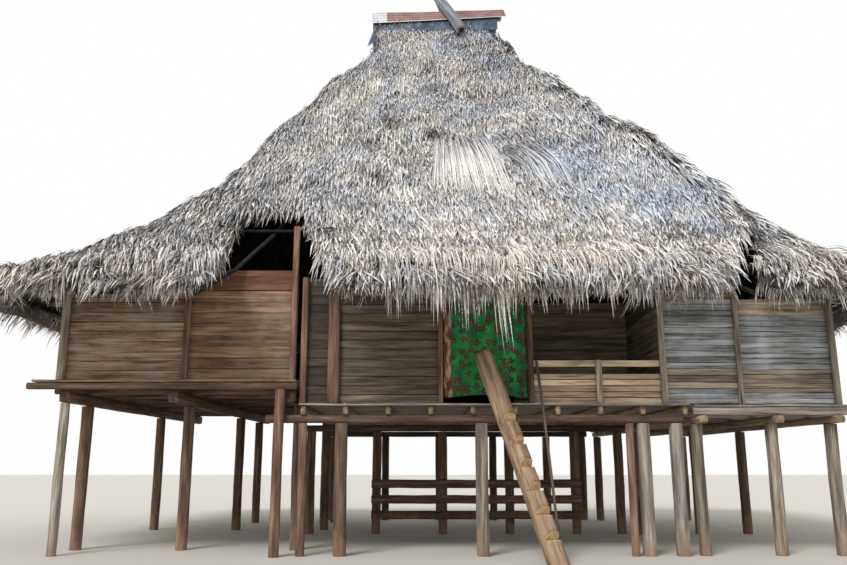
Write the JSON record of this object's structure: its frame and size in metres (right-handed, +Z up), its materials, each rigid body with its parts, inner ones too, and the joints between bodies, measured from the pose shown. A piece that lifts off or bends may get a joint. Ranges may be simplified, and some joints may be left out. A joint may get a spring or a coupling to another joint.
{
  "type": "stilt house",
  "caption": "Thatched stilt house with swept hipped palm roof, board walls, raised left wing, railed porch, curtained doorway and a notched log ladder.",
  "frame": {"origin": "centre of the foot of the centre post, on the lowest ground", "axes": "+X along the front to the right, +Y from the front to the rear, +Z up"},
  "size_m": [13.86, 9.2131, 11.0277],
  "materials": {
    "post_wood": "weathered timber with orange dust at the foot",
    "beam_wood": "rough sawn, weathered",
    "floor_boards": "weathered boards",
    "stud_wood": "weathered timber",
    "pole_wood": "dark round poles",
    "brown_boards": "split boards, warm brown, greyer below",
    "dark_boards": "dark split boards",
    "grey_boards": "silver grey split boards, tan below",
    "tan_boards": "pale split boards",
    "palm_thatch": "dry grey palm leaves",
    "ladder_wood": "weathered log with pale hewn notches",
    "curtain_cloth": "printed cotton",
    "tarp": "faded woven tarp",
    "rusted_sheet": "rusted corrugated sheet"
  },
  "bodies": {
    "root": {"front_posts": "post_wood", "middle_posts": "post_wood", "rear_posts": "post_wood", "left_wing_posts": "post_wood", "right_wing_posts": "post_wood", "floor_bearers": "beam_wood", "floor_joists": "beam_wood", "main_floor": "floor_boards", "left_wing_girders": "beam_wood", "left_wing_joists": "beam_wood", "left_wing_floor": "floor_boards", "right_wing_girders": "beam_wood", "right_wing_joists": "beam_wood", "right_wing_floor": "floor_boards", "pen_rails": "beam_wood", "left_wing_studs": "stud_wood", "front_wall_posts": "stud_wood", "right_wing_studs": "stud_wood", "rear_wall_studs": "stud_wood", "left_wing_front_wall": "brown_boards", "left_wing_end_wall": "brown_boards", "front_wall": "dark_boards", "porch_walls": "dark_boards", "porch_railing": "tan_boards", "right_wing_front_wall": "grey_boards", "right_wing_end_wall": "grey_boards", "rear_wall": "brown_boards", "door_curtain": "curtain_cloth", "curtain_rod": "pole_wood", "inner_posts": "pole_wood", "roof_plates": "pole_wood", "ridge_pole": "pole_wood", "front_rafters": "pole_wood", "rear_rafters": "pole_wood", "end_rafters": "pole_wood", "thatch_battens": "pole_wood", "thatch_front": "palm_thatch", "thatch_left": "palm_thatch", "thatch_rear": "palm_thatch", "thatch_right": "palm_thatch", "ridge_tarp": "tarp", "ridge_sheet": "rusted_sheet", "ridge_cross_poles": "pole_wood", "ladder_log": "ladder_wood", "handrail_pole": "pole_wood"}
  },
  "joints": []
}
